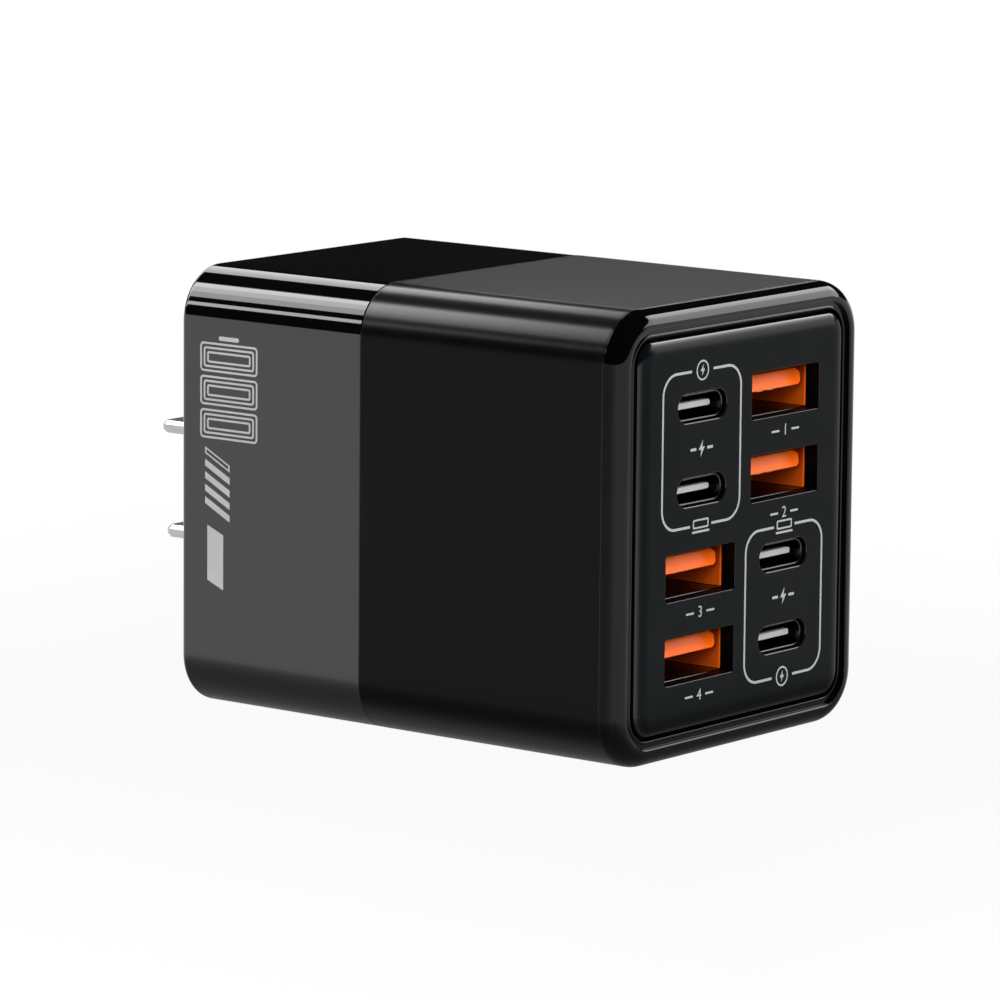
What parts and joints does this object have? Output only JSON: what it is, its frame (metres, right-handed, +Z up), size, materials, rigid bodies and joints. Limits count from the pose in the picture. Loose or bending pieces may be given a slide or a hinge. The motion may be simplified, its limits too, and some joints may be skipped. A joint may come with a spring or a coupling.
{
  "type": "multi-port usb wall charger",
  "caption": "Rounded box wall charger in two-part black housing with flat fixed plug blades and a pillowed panel of wide and narrow USB ports.",
  "frame": {"origin": "on the rear wall face, on the body's middle plane, level with the middle of the two plug blades", "axes": "+Y out of the wall face along the blades, -Y out of the port panel, +X to the right looking at the ports, +Z up"},
  "size_m": [0.0456, 0.0818, 0.0511],
  "materials": {
    "rear_gloss": "gloss black moulded plastic",
    "front_satin": "satin black moulded plastic",
    "panel_satin": "satin black with pale print",
    "blade_nickel": "nickel plated",
    "carrier_plastic": "moulded",
    "lead_copper": "bare copper strip",
    "board_laminate": "green board",
    "contact_gold": "gold flash",
    "ferrite": "dark ferrite",
    "winding_copper": "enamelled wire",
    "capacitor_box": "yellow box",
    "capacitor_disc": "blue dipped coat",
    "capacitor_sleeve": "black sleeve",
    "chip_black": "moulded package",
    "spreader_aluminium": "bare sheet",
    "pad_silicone": "soft pad",
    "can_aluminium": "bare can",
    "inductor_grey": "pressed powder",
    "port_steel": "tin plated",
    "port_orange": "orange moulded plastic",
    "port_dark_steel": "black nickel",
    "port_pale": "pale grey moulded plastic"
  },
  "bodies": {
    "root": {"rear_housing": "rear_gloss", "front_housing": "front_satin", "front_panel": "panel_satin", "neutral_blade": "blade_nickel", "line_blade": "blade_nickel", "blade_carrier": "carrier_plastic", "neutral_lead": "lead_copper", "line_lead": "lead_copper", "main_board": "board_laminate", "port_board": "board_laminate", "board_pins": "contact_gold", "transformer_core": "ferrite", "transformer_bobbin": "carrier_plastic", "transformer_winding": "winding_copper", "line_choke_core": "ferrite", "line_choke_winding": "winding_copper", "x_capacitor": "capacitor_box", "y_capacitor": "capacitor_disc", "bulk_capacitors": "capacitor_sleeve", "input_fuse": "chip_black", "bridge_rectifier": "chip_black", "optocoupler": "chip_black", "power_switches": "chip_black", "primary_controller": "chip_black", "rectifier_switches": "chip_black", "heat_spreader": "spreader_aluminium", "thermal_pad": "pad_silicone", "output_capacitors": "can_aluminium", "buck_inductors": "inductor_grey", "port_controllers": "chip_black", "usb_a_shell_1": "port_steel", "usb_a_insulator_1": "port_orange", "usb_a_contacts_1": "contact_gold", "usb_c_shell_1": "port_dark_steel", "usb_c_insulator_1": "port_pale", "usb_c_contacts_1": "contact_gold", "usb_a_shell_2": "port_steel", "usb_a_insulator_2": "port_orange", "usb_a_contacts_2": "contact_gold", "usb_c_shell_2": "port_dark_steel", "usb_c_insulator_2": "port_pale", "usb_c_contacts_2": "contact_gold", "usb_a_shell_3": "port_steel", "usb_a_insulator_3": "port_orange", "usb_a_contacts_3": "contact_gold", "usb_c_shell_3": "port_dark_steel", "usb_c_insulator_3": "port_pale", "usb_c_contacts_3": "contact_gold", "usb_a_shell_4": "port_steel", "usb_a_insulator_4": "port_orange", "usb_a_contacts_4": "contact_gold", "usb_c_shell_4": "port_dark_steel", "usb_c_insulator_4": "port_pale", "usb_c_contacts_4": "contact_gold"}
  },
  "joints": []
}
